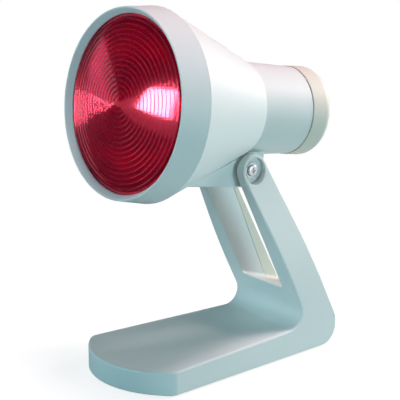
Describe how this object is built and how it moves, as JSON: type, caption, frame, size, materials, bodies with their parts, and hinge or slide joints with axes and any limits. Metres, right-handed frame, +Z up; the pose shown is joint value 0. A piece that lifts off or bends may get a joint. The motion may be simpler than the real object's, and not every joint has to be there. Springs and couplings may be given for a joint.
{
  "type": "infrared heat lamp",
  "caption": "Table infrared heat lamp: a conical shade with a ribbed red glass front tilts on a bolt in the fork of a windowed, L-shaped stand.",
  "frame": {"origin": "on the table, under the middle of the object's bounding box", "axes": "+Z up, -Y the way the lamp faces, X across the fork along the pivot bolt"},
  "size_m": [0.1296, 0.1777, 0.2526],
  "materials": {
    "back_cover": "satin moulded thermoplastic, ivory",
    "base_plate": "fine-grained moulded thermoplastic",
    "base_screw_1": "zinc plated",
    "base_screw_2": "zinc plated",
    "base_screw_3": "zinc plated",
    "base_screw_4": "zinc plated",
    "cord_gland": "moulded",
    "foot_front_left": "moulded",
    "foot_front_right": "moulded",
    "foot_rear_left": "moulded",
    "foot_rear_right": "moulded",
    "friction_washer_left": "nylon",
    "friction_washer_right": "nylon",
    "front_bezel": "satin moulded thermoplastic",
    "lamp_bowl": "glass silvered inside",
    "lamp_filament": "drawn tungsten",
    "lamp_insulator": "black vitrite",
    "lamp_lead_left": "nickel plated",
    "lamp_lead_right": "nickel plated",
    "lamp_lens": "ruby glass with pressed ribs",
    "lamp_screw_cap": "nickel plated",
    "lamp_seat_ring": "moulded",
    "lamp_stem": "clear glass",
    "lamp_tip": "nickel plated",
    "neck_housing": "satin moulded thermoplastic",
    "pivot_bolt": "zinc plated",
    "pivot_nut": "zinc plated",
    "pivot_pod": "satin moulded thermoplastic",
    "pivot_washer_left": "zinc plated",
    "pivot_washer_right": "zinc plated",
    "rear_cap": "satin moulded thermoplastic, ivory",
    "shade_cone": "satin moulded thermoplastic",
    "socket_body": "glazed ceramic",
    "socket_bracket": "zinc plated",
    "socket_contact": "nickel plated",
    "socket_screw_1": "zinc plated",
    "socket_screw_2": "zinc plated",
    "socket_shell": "nickel plated",
    "stand_shell": "satin moulded thermoplastic"
  },
  "bodies": {
    "stand": {"back_cover": "back_cover", "base_plate": "base_plate", "base_screw_1": "base_screw_1", "base_screw_2": "base_screw_2", "base_screw_3": "base_screw_3", "base_screw_4": "base_screw_4", "cord_gland": "cord_gland", "foot_front_left": "foot_front_left", "foot_front_right": "foot_front_right", "foot_rear_left": "foot_rear_left", "foot_rear_right": "foot_rear_right", "friction_washer_left": "friction_washer_left", "friction_washer_right": "friction_washer_right", "pivot_bolt": "pivot_bolt", "pivot_nut": "pivot_nut", "pivot_washer_left": "pivot_washer_left", "pivot_washer_right": "pivot_washer_right", "stand_shell": "stand_shell"},
    "head": {"front_bezel": "front_bezel", "shade_cone": "shade_cone", "neck_housing": "neck_housing", "rear_cap": "rear_cap", "pivot_pod": "pivot_pod", "lamp_seat_ring": "lamp_seat_ring", "lamp_lens": "lamp_lens", "lamp_bowl": "lamp_bowl", "lamp_screw_cap": "lamp_screw_cap", "lamp_insulator": "lamp_insulator", "lamp_tip": "lamp_tip", "lamp_stem": "lamp_stem", "lamp_lead_left": "lamp_lead_left", "lamp_lead_right": "lamp_lead_right", "lamp_filament": "lamp_filament", "socket_body": "socket_body", "socket_shell": "socket_shell", "socket_contact": "socket_contact", "socket_bracket": "socket_bracket", "socket_screw_1": "socket_screw_1", "socket_screw_2": "socket_screw_2"}
  },
  "joints": [
    {"name": "head_tilt", "type": "hinge", "parent": "stand", "child": "head", "pos_m": [0, 0.0173, 0.136], "axis": [1, 0, 0], "range_deg": [-50, 75]}
  ]
}
